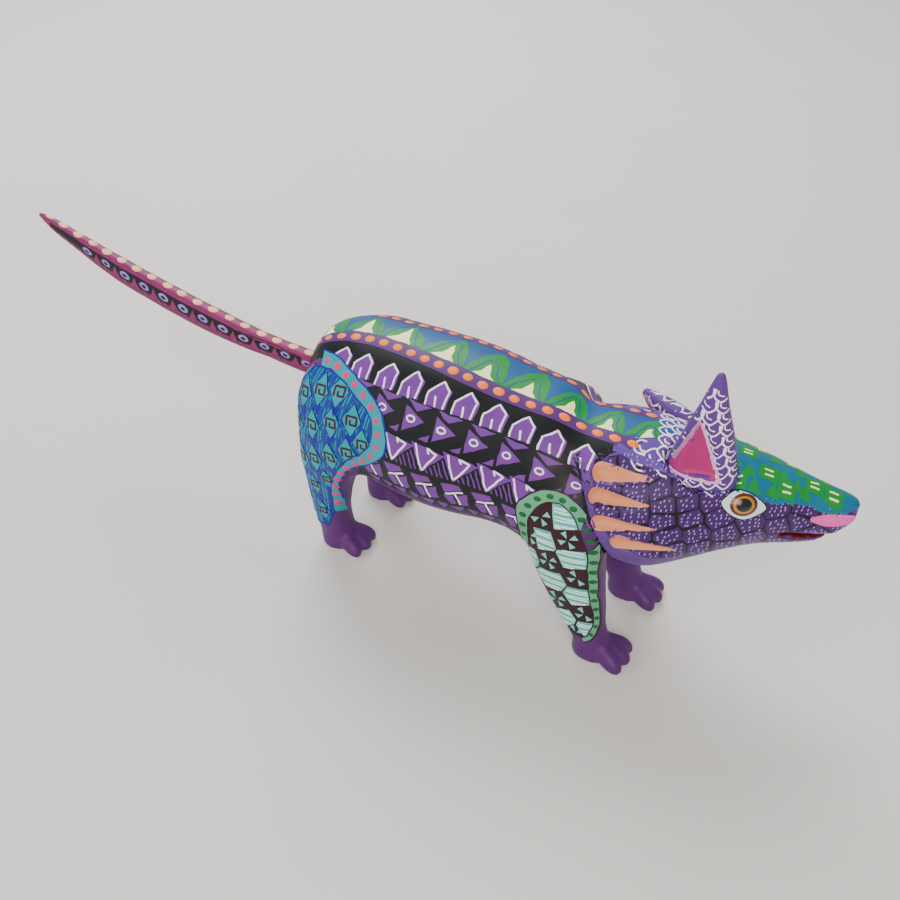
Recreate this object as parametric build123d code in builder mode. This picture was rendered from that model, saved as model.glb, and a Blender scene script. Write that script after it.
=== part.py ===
"""A carved and painted wooden opossum, the kind called an alebrije, in millimetres.

+X is forward, +Y is the animal's left and +Z is up. The origin is on the table, under the middle of
the figure. The trunk, the head and the four legs are separate blocks of soft wood, joined by glued
dowels. The tail and both ears only push into sockets, so they pull out when the figure is packed.
"""

import os
from math import cos, pi, radians, sin

from build123d import *

# Stations along the body are given from the middle of the four paws, which stands here.
PAWS_X = 41.3
PAWS_Y = -1

# Trunk: distance forward, height of the centre, half width and half height.
TRUNK_STATIONS = (
    (-61.2, 60.6, 4.6, 5.4),
    (-60.0, 60.2, 9.5, 10.8),
    (-57.0, 59.2, 15.0, 17.2),
    (-51.0, 58.2, 19.8, 22.2),
    (-40.0, 57.5, 23.6, 25.4),
    (-25.0, 57.0, 25.4, 26.6),
    (-5.0, 57.0, 25.5, 26.4),
    (15.0, 57.2, 24.0, 23.6),
    (32.0, 55.8, 21.2, 21.4),
    (60.0, 54.0, 18.0, 19.5),
)

# Head: it turns to the animal's left on the neck. Each station gives the distance along the head,
# the height of the centre, half width, half height, how much wider the upper half is, and the lean
# that brings the lower edge forward.
NECK_X = 38.0
HEAD_YAW = 16.0
HEAD_STATIONS = (
    (-1.0, 56.6, 22.6, 22.0, 0.00, 24),
    (6.0, 56.6, 23.4, 22.2, 0.00, 18),
    (16.0, 56.8, 21.6, 20.6, 0.02, 8),
    (27.0, 57.4, 17.4, 17.6, 0.06, 2),
    (38.0, 58.0, 12.8, 14.2, 0.12, 0),
    (49.0, 57.4, 8.4, 11.6, 0.16, 0),
    (57.0, 57.2, 5.8, 9.4, 0.12, 0),
    (62.6, 58.8, 4.0, 6.2, 0.00, 0),
    (65.8, 60.3, 2.2, 3.1, 0.00, 0),
)
# Mouth: distance along the head and height above the corner, for the upper and the lower edge.
MOUTH_HEIGHT = 54.6
MOUTH_UPPER = ((45.5, 0.0), (47.5, 0.7), (72.0, -3.2))
MOUTH_LOWER = ((60.5, -4.2), (47.5, -1.2))

# Gills: gouge cuts in the cheeks, each round at the back and drawn out to a point at the front.
# Distance along the head and angle above the level, at the back and at the point.
GILLS = (
    (-1.8, 46, 12.0, 46),
    (-1.9, 29, 12.0, 29),
    (0.0, 11, 14.5, 11),
    (5.5, -4, 21.5, -10),
)
GILL_RADIUS = 2.7
GILL_RUN_OUT = 1.04  # the point stands this share of the head's size outside the surface

# Tail: distance forward, height, half width and half height.
TAIL_STATIONS = (
    (-62.0, 60.6, 2.8, 3.3),
    (-76.0, 60.8, 3.0, 3.7),
    (-95.0, 62.0, 3.2, 4.2),
    (-118.0, 65.2, 3.2, 4.8),
    (-140.0, 69.6, 3.0, 4.8),
    (-158.0, 74.4, 2.6, 4.0),
    (-172.0, 79.2, 2.0, 2.7),
    (-180.5, 82.2, 1.4, 1.7),
    (-184.5, 83.6, 0.7, 0.8),
)
TAIL_SQUARENESS = 2.8
TAIL_TENON_LENGTH = 15.0
TAIL_TENON = (2.2, 1.7)  # half height and half width: oval, so that the tail can't turn
SPOT_FACE_RADIUS = 6.0
SPOT_FACE_REACH = 10.0

# Ears: share of the height, half length and half width. Each ear stands on its seat and points to
# its tip, both given from the middle of the paws.
POINTED_EAR = (
    (0.00, 9.6, 5.4),
    (0.20, 8.5, 5.0),
    (0.45, 6.3, 4.1),
    (0.70, 3.8, 3.0),
    (0.90, 1.9, 1.8),
    (1.00, 0.8, 0.8),
)
ROUND_EAR = (
    (0.00, 9.6, 5.4),
    (0.20, 9.4, 5.0),
    (0.45, 8.6, 4.2),
    (0.70, 6.8, 3.2),
    (0.90, 4.2, 2.0),
    (1.00, 2.4, 1.1),
)
EAR_SQUARENESS = 2.3
EAR_TENON = (2.0, 1.5)
EAR_TENON_LENGTH = 6.0
EAR_HOLLOW = ((0.15, 6.4, 1.6), (0.37, 3.7, 1.5), (0.58, 0.8, 0.6))
EAR_HOLLOW_SHIFT = -1.6  # along the ear's base
EARS = {
    "right": ((62.6, -1.0, 69.5), (62.2, -2.6, 103.8), (0.96, 0.28, 0.0), 1, POINTED_EAR),
    "left": ((57.5, 18.5, 65.5), (37.0, 25.5, 71.0), (0.1, 0.6, -0.75), -1, ROUND_EAR),
}

# Legs: height, distance forward, outward distance, half length and half width, from the sole up.
HIND_LEG_STATIONS = (
    (2.6, -50.2, 14.0, 6.4, 6.2),
    (8.0, -51.0, 14.2, 6.2, 5.4),
    (20.0, -51.4, 15.2, 6.8, 5.6),
    (33.0, -49.4, 16.4, 8.8, 6.8),
    (44.0, -45.6, 17.4, 12.0, 8.2),
    (55.0, -40.4, 17.6, 16.6, 8.9),
    (65.0, -38.4, 16.4, 18.2, 8.6),
    (72.0, -39.0, 14.6, 15.6, 6.6),
    (76.0, -40.0, 13.0, 9.0, 3.6),
)
FRONT_LEG_STATIONS = (
    (2.6, 45.2, 14.2, 6.4, 5.8),
    (8.0, 43.4, 14.2, 5.8, 5.2),
    (20.0, 38.8, 14.8, 8.6, 5.6),
    (33.0, 35.2, 15.8, 11.0, 6.6),
    (46.0, 33.0, 16.6, 12.0, 7.4),
    (57.0, 32.6, 16.4, 10.6, 7.2),
    (64.0, 32.2, 15.0, 7.4, 5.6),
    (67.0, 32.2, 14.0, 4.0, 3.4),
)
GLUE_FLAT = 16.0  # the legs are glued to flats this far out from the spine's plane
TOE_SPLAYS = (-26, 0, 26)
TOE_STATIONS = (  # distance ahead, height of the centre, half width, half height
    (-4.0, 3.6, 3.4, 3.6),
    (4.5, 3.6, 3.3, 3.6),
    (8.5, 2.7, 2.9, 3.0),
    (11.4, 1.9, 1.9, 2.0),
    (12.4, 1.4, 0.8, 1.0),
)

LEG_DOWEL_RADIUS = 2.0
LEG_DOWEL_LENGTH = 12.0
NECK_DOWEL_RADIUS = 3.0
NECK_DOWEL_LENGTH = 28.0
NECK_DOWEL_HEIGHT = 57.0
GLUE_GAP = 0.03
SLIDE_GAP = 0.06
SEAT_GAP = 0.2
REACH = 200.0  # larger than the figure, for cutting tools
OUTLINE_POINTS = 16

HEAD_AXIS = Vector(cos(radians(HEAD_YAW)), sin(radians(HEAD_YAW)), 0)
HEAD_ACROSS = Vector(-sin(radians(HEAD_YAW)), cos(radians(HEAD_YAW)), 0)
UP = Vector(0, 0, 1)


def from_paws(x, y, z):
    return Vector(PAWS_X + x, PAWS_Y + y, z)


def body_plane(x, z, y=0.0):
    """A plane across the spine: its x is the animal's left and its y is up."""
    return Plane(origin=from_paws(x, y, z), x_dir=(0, 1, 0), z_dir=(1, 0, 0))


def head_plane(along, height, lean=0.0):
    """A plane across the head: its x is the head's left and its y is up."""
    facing = HEAD_AXIS * cos(radians(lean)) + UP * sin(radians(lean))
    return Plane(
        origin=from_paws(NECK_X, 0, height) + HEAD_AXIS * along, x_dir=HEAD_ACROSS, z_dir=facing
    )


def ear_plane(seat, tip, length_direction):
    """The plane that an ear stands on: its x runs along the ear's base and its z to the tip."""
    rise = from_paws(*tip) - from_paws(*seat)
    across = rise.cross(Vector(*length_direction))
    return Plane(origin=from_paws(*seat), x_dir=across.cross(rise), z_dir=rise)


def side_plane(x, y, z):
    """A plane parallel to the spine's plane: its x is forward and it faces the animal's left."""
    return Plane(origin=from_paws(x, y, z), x_dir=(1, 0, 0), z_dir=(0, 1, 0))


def outline(half_width, half_height, squareness=2.0, top_heavy=0.0):
    """A smooth closed outline: an ellipse at squareness 2, and boxier above it."""
    points = []
    for i in range(OUTLINE_POINTS):
        t = 2 * pi * (i + 0.5) / OUTLINE_POINTS
        across = abs(cos(t)) ** (2 / squareness) * (1 if cos(t) > 0 else -1)
        upward = abs(sin(t)) ** (2 / squareness) * (1 if sin(t) > 0 else -1)
        points.append((half_width * across * (1 + top_heavy * upward), half_height * upward))
    with BuildSketch() as shape:
        with BuildLine():
            Spline(*points, periodic=True)
        make_face()
    return shape.sketch


def lofted(planes_and_outlines):
    """A smooth solid through outlines that each lie on a plane of their own."""
    with BuildPart() as body:
        for plane, face in planes_and_outlines:
            with BuildSketch(plane):
                add(face)
        loft()
    return body.part


def trunk_block():
    return lofted([(body_plane(x, z), outline(w, h)) for x, z, w, h in TRUNK_STATIONS])


def head_block():
    sections = []
    for along, z, half_width, half_height, top_heavy, lean in HEAD_STATIONS:
        shape = outline(half_width, half_height, top_heavy=top_heavy)
        sections.append((head_plane(along, z, lean), shape))
    return lofted(sections)


def mouth_cut():
    """A knife cut that widens towards the nose, and the step that sets the chin back."""
    nose_end, chin_end = MOUTH_UPPER[-1][0], MOUTH_LOWER[0][0]
    profile = Plane(
        origin=from_paws(NECK_X, 0, MOUTH_HEIGHT), x_dir=HEAD_AXIS, z_dir=-HEAD_ACROSS
    )
    with BuildPart() as cut:
        with BuildSketch(profile):
            with BuildLine():
                Polyline(
                    *MOUTH_UPPER,
                    (nose_end, -REACH / 10),
                    (chin_end, -REACH / 10),
                    *MOUTH_LOWER,
                    close=True,
                )
            make_face()
        extrude(amount=REACH / 10, both=True)
    return cut.part


def cheek_point(side, along, angle, size=1.0):
    """A point on the head's surface. side is -1 on the animal's right and 1 on its left."""
    for behind, ahead in zip(HEAD_STATIONS, HEAD_STATIONS[1:]):
        if along <= ahead[0]:
            break
    share = (along - behind[0]) / (ahead[0] - behind[0])
    _, z, half_width, half_height, _, _ = (a + (b - a) * share for a, b in zip(behind, ahead))
    turn = radians(angle)
    return head_plane(along, z).from_local_coords(
        (side * size * half_width * cos(turn), size * half_height * sin(turn))
    )


def gill_cut(side, back_along, back_angle, front_along, front_angle):
    """A cone that lies in a cheek's surface, with a ball at its back."""
    back = cheek_point(side, back_along, back_angle)
    front = cheek_point(side, front_along, front_angle, GILL_RUN_OUT)
    axis = Plane(origin=back, z_dir=front - back)
    with BuildPart() as cone:
        with BuildSketch(axis):
            Circle(GILL_RADIUS)
        with BuildSketch(axis.offset((front - back).length)):
            Circle(GILL_RADIUS / 20)
        loft()
    with BuildPart() as cut:
        add(cone.part)
        with Locations(back):
            Sphere(GILL_RADIUS)
    return cut.part


def tail_block():
    """The tail, with the tenon that runs forward into the rump."""
    sections = []
    for x, z, half_width, half_height in TAIL_STATIONS:
        sections.append((body_plane(x, z), outline(half_width, half_height, TAIL_SQUARENESS)))
    return lofted(sections)


def oval_bar(plane, half_height, half_width, amount, gap=0.0):
    """A tenon, or with a gap the socket for it."""
    with BuildPart() as bar:
        with BuildSketch(plane):
            Ellipse(half_width + gap, half_height + gap)
        extrude(amount=amount)
    return bar.part


def ear_block(plane, height, hollow_side, stations):
    """An ear that narrows to its tip, with a hollow cut in its outer face."""
    body = lofted(
        [
            (plane.offset(share * height), outline(half_length, half_width, EAR_SQUARENESS))
            for share, half_length, half_width in stations
        ]
    )
    hollow = ear_hollow(plane, height, hollow_side, stations)
    with BuildPart() as ear:
        add(body)
        add(hollow, mode=Mode.SUBTRACT)
    return ear.part


def ear_width(share, stations):
    """The half width of an ear at a share of its height."""
    for (low, _, wide), (high, _, narrow) in zip(stations, stations[1:]):
        if share <= high:
            return wide + (narrow - wide) * (share - low) / (high - low)
    return narrow


def ear_hollow(plane, height, hollow_side, stations):
    with BuildPart() as hollow:
        for share, half_length, depth in EAR_HOLLOW:
            with BuildSketch(plane.offset(share * height)):
                with Locations((EAR_HOLLOW_SHIFT, -hollow_side * ear_width(share, stations))):
                    Ellipse(half_length, depth)
        loft()
    return hollow.part


def leg_block(stations, side):
    """A leg and its paw with three toes. side is -1 on the animal's right and 1 on its left."""
    _, ankle_x, ankle_y, _, _ = stations[0]
    shank = lofted(
        [
            (Plane(origin=from_paws(x, side * y, z)), outline(half_length, half_width, 2.2))
            for z, x, y, half_length, half_width in stations
        ]
    )
    toes = [toe_block(ankle_x, side * ankle_y, splay) for splay in TOE_SPLAYS]
    with BuildPart() as leg:
        add(shank)
        add(toes)
        with BuildSketch(Plane(origin=from_paws(ankle_x, side * ankle_y, 0))):
            Ellipse(stations[0][3], stations[0][4])
        extrude(amount=stations[0][0] + 1.0)
        split(bisect_by=Plane.XY, keep=Keep.TOP)
    return leg.part


def toe_block(x, y, splay):
    heading = Vector(cos(radians(splay)), sin(radians(splay)), 0)
    left = Vector(-sin(radians(splay)), cos(radians(splay)), 0)
    sections = []
    for ahead, z, half_width, half_height in TOE_STATIONS:
        plane = Plane(origin=from_paws(x, y, z) + heading * ahead, x_dir=left, z_dir=heading)
        sections.append((plane, outline(half_width, half_height)))
    return lofted(sections)


def round_bar(plane, radius, length):
    """A dowel centred on a plane, or with a larger radius the bore for it."""
    with BuildPart() as bar:
        with BuildSketch(plane):
            Circle(radius)
        extrude(amount=length / 2, both=True)
    return bar.part


def write(name, solid, cuts=()):
    """Takes the cuts out of a solid and writes it as one named piece."""
    with BuildPart() as piece:
        add(solid)
        for cut in cuts:
            add(cut, mode=Mode.SUBTRACT)
    piece.part.label = name
    export_step(piece.part, f"parts/{name}.step")
    return piece.part


os.makedirs("parts", exist_ok=True)

# The trunk's block ends on the head's sawn back face.
neck_face = head_plane(HEAD_STATIONS[0][0], HEAD_STATIONS[0][1], HEAD_STATIONS[0][5])
with BuildPart() as trunk_stock:
    add(trunk_block())
    split(bisect_by=neck_face, keep=Keep.BOTTOM)
with BuildPart() as trunk_core:
    add(trunk_stock.part)
    with Locations(from_paws(0, 0, 0)):
        Box(REACH * 2, GLUE_FLAT * 2, REACH * 2, mode=Mode.INTERSECT)

# Each leg is glued to a flat on the trunk and pinned by one dowel. The head's back edge overlaps
# the shoulders, so it is cut out of the front legs.
head_stock = head_block()
trunk_cuts = []
for pair, stations, pin_x, pin_z in (
    ("hind", HIND_LEG_STATIONS, -42.0, 58.0),
    ("front", FRONT_LEG_STATIONS, 27.5, 51.0),
):
    for hand, side in (("right", -1), ("left", 1)):
        pin_plane = side_plane(pin_x, side * GLUE_FLAT, pin_z)
        bore = round_bar(pin_plane, LEG_DOWEL_RADIUS + GLUE_GAP, LEG_DOWEL_LENGTH + 1)
        leg = leg_block(stations, side)
        write(f"{hand}_{pair}_leg", leg, [trunk_core.part, head_stock, bore])
        write(f"{hand}_{pair}_dowel", round_bar(pin_plane, LEG_DOWEL_RADIUS, LEG_DOWEL_LENGTH))
        with BuildPart() as leg_bed:
            add(leg)
            add(trunk_core.part, mode=Mode.SUBTRACT)
        trunk_cuts += [leg_bed.part, bore]

# The neck dowel pins the head to the trunk.
neck_plane = head_plane(HEAD_STATIONS[0][0], NECK_DOWEL_HEIGHT)
neck_bore = round_bar(neck_plane, NECK_DOWEL_RADIUS + GLUE_GAP, NECK_DOWEL_LENGTH + 1)
write("neck_dowel", round_bar(neck_plane, NECK_DOWEL_RADIUS, NECK_DOWEL_LENGTH))

# The tail's root stands in a shallow spot face in the rump, and its tenon goes on into the trunk.
tail_x, tail_z = TAIL_STATIONS[0][:2]
tail_plane = body_plane(tail_x, tail_z)
tail_tenon = oval_bar(tail_plane, *TAIL_TENON, TAIL_TENON_LENGTH)
with BuildPart() as tail:
    add(tail_block())
    add(tail_tenon)
write("tail", tail.part)
tail_socket = oval_bar(tail_plane, *TAIL_TENON, TAIL_TENON_LENGTH + 1, SLIDE_GAP)
spot_face_plane = body_plane(tail_x + SEAT_GAP / 2, tail_z)
spot_face = oval_bar(spot_face_plane, SPOT_FACE_RADIUS, SPOT_FACE_RADIUS, -SPOT_FACE_REACH)
write("trunk", trunk_stock.part, trunk_cuts + [neck_bore, tail_socket, spot_face])

# The ears stand in pockets cut in the head.
head_cuts = [neck_bore, mouth_cut()]
for side in (-1, 1):
    head_cuts += [gill_cut(side, *gill) for gill in GILLS]
for hand, (seat, tip, length_direction, hollow_side, stations) in EARS.items():
    plane = ear_plane(seat, tip, length_direction)
    height = (from_paws(*tip) - from_paws(*seat)).length
    _, base_length, base_width = stations[0]
    with BuildPart() as ear:
        add(ear_block(plane, height, hollow_side, stations))
        add(oval_bar(plane, *EAR_TENON, -EAR_TENON_LENGTH))
    write(f"{hand}_ear", ear.part)
    pocket_outline = outline(base_length + SEAT_GAP, base_width + SEAT_GAP, EAR_SQUARENESS)
    with BuildPart() as pocket:
        with BuildSketch(plane.offset(-SLIDE_GAP)):
            add(pocket_outline)
        extrude(amount=height)
        add(oval_bar(plane, *EAR_TENON, -EAR_TENON_LENGTH - 1, SLIDE_GAP))
    head_cuts.append(pocket.part)
write("head", head_stock, head_cuts)
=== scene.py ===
"""The look of a carved and painted wooden opossum (an alebrije), built around its CAD frame.

The carving is soft copal wood, sanded by hand, given a ground coat and painted freehand with acrylic
colours. Every painted mark is a thin mesh that lies on the wood, as thick paint does.

Lengths in the tables are millimetres. Places on the body are given from the middle of the four
paws: +X forward, +Y to the animal's left, +Z up.
"""

import random
from math import cos, hypot, pi, radians, sin, sqrt

import bmesh
import bpy
import numpy as np
from mathutils import Matrix, Vector, noise
from mathutils.bvhtree import BVHTree
from mathutils.geometry import delaunay_2d_cdt


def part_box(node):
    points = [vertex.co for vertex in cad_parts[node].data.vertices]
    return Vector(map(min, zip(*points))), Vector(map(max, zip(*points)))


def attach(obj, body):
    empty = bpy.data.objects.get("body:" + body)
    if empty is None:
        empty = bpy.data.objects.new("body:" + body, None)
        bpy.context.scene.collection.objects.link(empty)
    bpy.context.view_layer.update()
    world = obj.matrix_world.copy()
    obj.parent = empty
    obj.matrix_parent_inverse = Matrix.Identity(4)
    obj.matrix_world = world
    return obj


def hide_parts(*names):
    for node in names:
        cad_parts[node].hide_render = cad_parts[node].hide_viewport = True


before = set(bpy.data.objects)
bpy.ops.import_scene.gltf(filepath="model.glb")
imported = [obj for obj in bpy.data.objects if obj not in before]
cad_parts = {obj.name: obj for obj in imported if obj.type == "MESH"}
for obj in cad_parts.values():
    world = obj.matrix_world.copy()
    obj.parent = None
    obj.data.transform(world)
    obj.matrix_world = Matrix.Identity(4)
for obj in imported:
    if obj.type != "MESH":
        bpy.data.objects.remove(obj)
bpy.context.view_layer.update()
hand = random.Random(12)

MM = 0.001
RIGHT = -1
LEFT = 1

# The trunk's rear end stands this far behind the middle of the paws.
TRUNK_REAR = 61.2
trunk_low, trunk_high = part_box("trunk")
PAWS = Vector(
    (trunk_low.x / MM + TRUNK_REAR, (trunk_low.y + trunk_high.y) / 2 / MM, 0.0)
)

BODY_NODES = (
    "trunk", "head", "right_hind_leg", "left_hind_leg", "right_front_leg", "left_front_leg"
)  # fmt: skip

# ---------------------------------------------------------------- paint and wood


def linear(hex_colour):
    """An sRGB colour such as '#8a2a74' as the linear RGBA that shaders use."""
    channels = [int(hex_colour[i : i + 2], 16) / 255 for i in (1, 3, 5)]
    return [c / 12.92 if c <= 0.04045 else ((c + 0.055) / 1.055) ** 2.4 for c in channels] + [1.0]


def add_node(tree, kind, inputs=None, **settings):
    """Adds a node with its settings, and fills or links its inputs."""
    made = tree.nodes.new(kind)
    for name, value in settings.items():
        setattr(made, name, value)
    for socket, value in (inputs or {}).items():
        if isinstance(value, bpy.types.NodeSocket):
            tree.links.new(value, made.inputs[socket])
        else:
            made.inputs[socket].default_value = value
    return made


def mixed_colour(tree, share, first, second):
    """Two colours mixed by a share from 0 to 1."""
    mix = add_node(tree, "ShaderNodeMix", {0: share}, data_type="RGBA")
    mix.inputs[6].default_value = first
    mix.inputs[7].default_value = second
    return mix.outputs[2]


def per_mm(size):
    """The noise scale that gives features of about this many millimetres."""
    return 1.0 / (size * MM)


def brushed_acrylic(name, colour, roughness=0.5, patchy=0.22, gloss=0.0):
    """Artist's acrylic laid on by brush: satin, a little patchy where the coat is thin, with the
    wood's pores and the bristle marks standing in it."""
    material = bpy.data.materials.new(name)
    material.use_nodes = True
    tree = material.node_tree
    tree.nodes.clear()
    place = add_node(tree, "ShaderNodeTexCoord").outputs["Object"]
    along_grain = add_node(
        tree, "ShaderNodeMapping", {"Vector": place, "Scale": (0.25, 1.0, 1.0)}
    ).outputs["Vector"]
    coat = add_node(
        tree, "ShaderNodeTexNoise", {"Vector": place, "Scale": per_mm(7), "Detail": 4.0, "Roughness": 0.6}
    ).outputs["Fac"]
    fibres = add_node(
        tree, "ShaderNodeTexNoise", {"Vector": along_grain, "Scale": per_mm(0.9), "Detail": 3.0}
    ).outputs["Fac"]
    grit = add_node(
        tree, "ShaderNodeTexNoise", {"Vector": place, "Scale": per_mm(0.35), "Detail": 2.0}
    ).outputs["Fac"]
    thin = [c * (1 - patchy) for c in linear(colour)[:3]] + [1.0]
    thick = [min(1.0, c * (1 + patchy) + 0.012 * patchy) for c in linear(colour)[:3]] + [1.0]
    shade = mixed_colour(tree, coat, thin, thick)
    dull = add_node(
        tree,
        "ShaderNodeMapRange",
        {
            "Value": coat,
            "From Min": 0.3,
            "From Max": 0.7,
            "To Min": roughness - 0.07,
            "To Max": roughness + 0.08,
        },
    ).outputs["Result"]
    fibre_relief = add_node(
        tree, "ShaderNodeBump", {"Height": fibres, "Strength": 0.25, "Distance": 0.10 * MM}
    ).outputs["Normal"]
    relief = add_node(
        tree,
        "ShaderNodeBump",
        {"Height": grit, "Normal": fibre_relief, "Strength": 0.3, "Distance": 0.04 * MM},
    ).outputs["Normal"]
    surface = add_node(
        tree,
        "ShaderNodeBsdfPrincipled",
        {
            "Base Color": shade,
            "Roughness": dull,
            "Normal": relief,
            "Specular IOR Level": 0.25,
            "Coat Weight": gloss,
            "Coat Roughness": 0.15,
        },
    ).outputs["BSDF"]
    add_node(tree, "ShaderNodeOutputMaterial", {"Surface": surface})
    return material


def bare_dowel_wood():
    """Planed hardwood dowel, unfinished: pale, with fine streaks along its length."""
    material = bpy.data.materials.new("Bare hardwood, planed and unfinished")
    material.use_nodes = True
    tree = material.node_tree
    tree.nodes.clear()
    place = add_node(tree, "ShaderNodeTexCoord").outputs["Object"]
    along = add_node(
        tree, "ShaderNodeMapping", {"Vector": place, "Scale": (1.0, 0.12, 1.0)}
    ).outputs["Vector"]
    streaks = add_node(
        tree, "ShaderNodeTexNoise", {"Vector": along, "Scale": per_mm(0.8), "Detail": 5.0}
    ).outputs["Fac"]
    tint = mixed_colour(tree, streaks, linear("#a9814f"), linear("#dcc094"))
    surface = add_node(
        tree,
        "ShaderNodeBsdfPrincipled",
        {"Base Color": tint, "Roughness": 0.62},
    ).outputs["BSDF"]
    add_node(tree, "ShaderNodeOutputMaterial", {"Surface": surface})
    return material


# ---------------------------------------------------------------- the carved wood


def to_row(point):
    """A place given from the paws in millimetres, as a place in the frame in metres."""
    return (Vector(point) + PAWS) * MM


def remeshed(nodes, voxel):
    """One even skin around copies of some CAD nodes: vertices in millimetres, and faces."""
    together = bmesh.new()
    for name in nodes:
        together.from_mesh(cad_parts[name].data)
    mesh = bpy.data.meshes.new("blank")
    together.to_mesh(mesh)
    together.free()
    blank = bpy.data.objects.new("blank", mesh)
    bpy.context.scene.collection.objects.link(blank)
    modifier = blank.modifiers.new("even", "REMESH")
    modifier.mode = "VOXEL"
    modifier.voxel_size = voxel * MM
    graph = bpy.context.evaluated_depsgraph_get()
    even = bpy.data.meshes.new_from_object(blank.evaluated_get(graph))
    points = np.zeros(len(even.vertices) * 3)
    even.vertices.foreach_get("co", points)
    faces = [tuple(p.vertices) for p in even.polygons]
    bpy.data.objects.remove(blank)
    bpy.data.meshes.remove(even)
    return outer_shell(points.reshape(-1, 3) / MM - np.array(PAWS), faces)


def outer_shell(points, faces):
    """Drops the closed pockets inside, and keeps the shell that holds the foremost vertex."""
    beside = [[] for _ in points]
    for face in faces:
        for a, b in zip(face, face[1:] + face[:1]):
            beside[a].append(b)
    seen = np.zeros(len(points), bool)
    reached = [int(np.argmax(points[:, 0]))]
    seen[reached[0]] = True
    while reached:
        for b in beside[reached.pop()]:
            if not seen[b]:
                seen[b] = True
                reached.append(b)
    new_index = np.cumsum(seen) - 1
    kept = [tuple(int(new_index[i]) for i in face) for face in faces if seen[face[0]]]
    return points[seen], kept


def edge_pairs(faces):
    pairs = {(min(a, b), max(a, b)) for face in faces for a, b in zip(face, face[1:] + face[:1])}
    return np.array(sorted(pairs))


def sand(points, faces, passes, weights):
    """Evens the surface as sanding does: each pass moves vertices towards their neighbours."""
    pairs = edge_pairs(faces)
    ends = np.concatenate((pairs[:, 0], pairs[:, 1]))
    others = np.concatenate((pairs[:, 1], pairs[:, 0]))
    count = np.bincount(ends, minlength=len(points))[:, None]
    for _ in range(passes):
        around = np.stack(
            [np.bincount(ends, points[others, axis], len(points)) for axis in range(3)], axis=1
        )
        points = points + 0.5 * weights[:, None] * (around / count - points)
    return points


def vertex_normals(points, faces):
    normals = np.zeros_like(points)
    corners = np.array([face[:3] for face in faces])
    across = np.cross(
        points[corners[:, 1]] - points[corners[:, 0]], points[corners[:, 2]] - points[corners[:, 0]]
    )
    for place in range(4):
        index = np.array([face[place % len(face)] for face in faces])
        np.add.at(normals, index, across)
    return normals / np.linalg.norm(normals, axis=1)[:, None]


SEAM_PASSES = 160
NAPE_HEIGHT = 73  # above this the head's seam is sanded flush


class Skin:
    """The sanded surface of some carved blocks, which the paint is laid on."""

    def __init__(self, nodes, voxel, passes):
        self.points, self.faces = remeshed(nodes, voxel)
        self.label_vertices(nodes)
        self.points = sand(self.points, self.faces, passes, np.ones(len(self.points)))
        if len(nodes) > 1:
            self.points = sand(self.points, self.faces, SEAM_PASSES, self.seam_weights())
        self.normals = vertex_normals(self.points, self.faces)
        self.carve_unevenly()
        self.tree = BVHTree.FromPolygons([Vector(p) for p in self.points], self.faces)

    def label_vertices(self, nodes):
        """Finds the two nearest blocks of each vertex."""
        gaps = []
        for name in nodes:
            tree = BVHTree.FromObject(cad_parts[name], bpy.context.evaluated_depsgraph_get())
            gaps.append([tree.find_nearest(to_row(p))[3] / MM for p in self.points])
        gaps = np.array(gaps)
        self.nodes = nodes
        self.nearest = np.argmin(gaps, axis=0)
        self.second_gap = np.sort(gaps, axis=0)[1] if len(nodes) > 1 else None
        self.second = np.argsort(gaps, axis=0)[1] if len(nodes) > 1 else None

    def seam_weights(self):
        """Glue seams are filled and sanded flush, except the ruff's edge at the cheeks."""
        close = np.clip(1 - self.second_gap / 4.0, 0, 1)
        wide = np.clip(1.4 - self.second_gap / 7.0, 0, 1)
        head = self.nodes.index("head")
        at_head = (self.nearest == head) | (self.second == head)
        nape = np.clip((self.points[:, 2] - NAPE_HEIGHT) / 3, 0, 1)
        return np.where(at_head, wide * nape, close)

    def carve_unevenly(self):
        """A blade and sandpaper leave the round forms slightly wavy."""
        places = [Vector(p) for p in self.points]
        waves = [noise.noise(p / 9.0) * 0.16 + noise.noise(p / 3.5) * 0.05 for p in places]
        waves = np.array(waves)
        self.points = self.points + self.normals * waves[:, None]

    def hit(self, origin, direction, allowed=None):
        """Where a line meets the skin, as (point, normal), or None where paint isn't allowed."""
        point, _, index, _ = self.tree.ray_cast(origin, direction, 300.0)
        if point is None:
            return None
        face = self.faces[index]
        if allowed and not allowed(self.nodes[self.nearest[face[0]]], point):
            return None
        near = [1.0 / (1e-4 + (Vector(self.points[i]) - point).length) for i in face]
        normal = sum((Vector(self.normals[i]) * w for i, w in zip(face, near)), Vector())
        return point, normal.normalized()

    def piece(self, node):
        """The share of the skin that belongs to one block, closed inside by a cone."""
        own = self.nodes.index(node)
        faces = [f for f in self.faces if self.nearest[f[0]] == own]
        used = sorted({i for f in faces for i in f})
        index = {old: new for new, old in enumerate(used)}
        points = [self.points[i] for i in used]
        normals = [self.normals[i] for i in used]
        faces = [tuple(index[i] for i in f) for f in faces]
        if len(self.nodes) > 1:
            points.append(np.mean(points, axis=0))
            normals.append(np.array((0.0, 0.0, 1.0)))
            around = {(a, b) for f in faces for a, b in zip(f, f[1:] + f[:1])}
            rim = [(a, b) for a, b in around if (b, a) not in around]
            faces += [(b, a, len(points) - 1) for a, b in rim]
        return points, normals, faces


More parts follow.
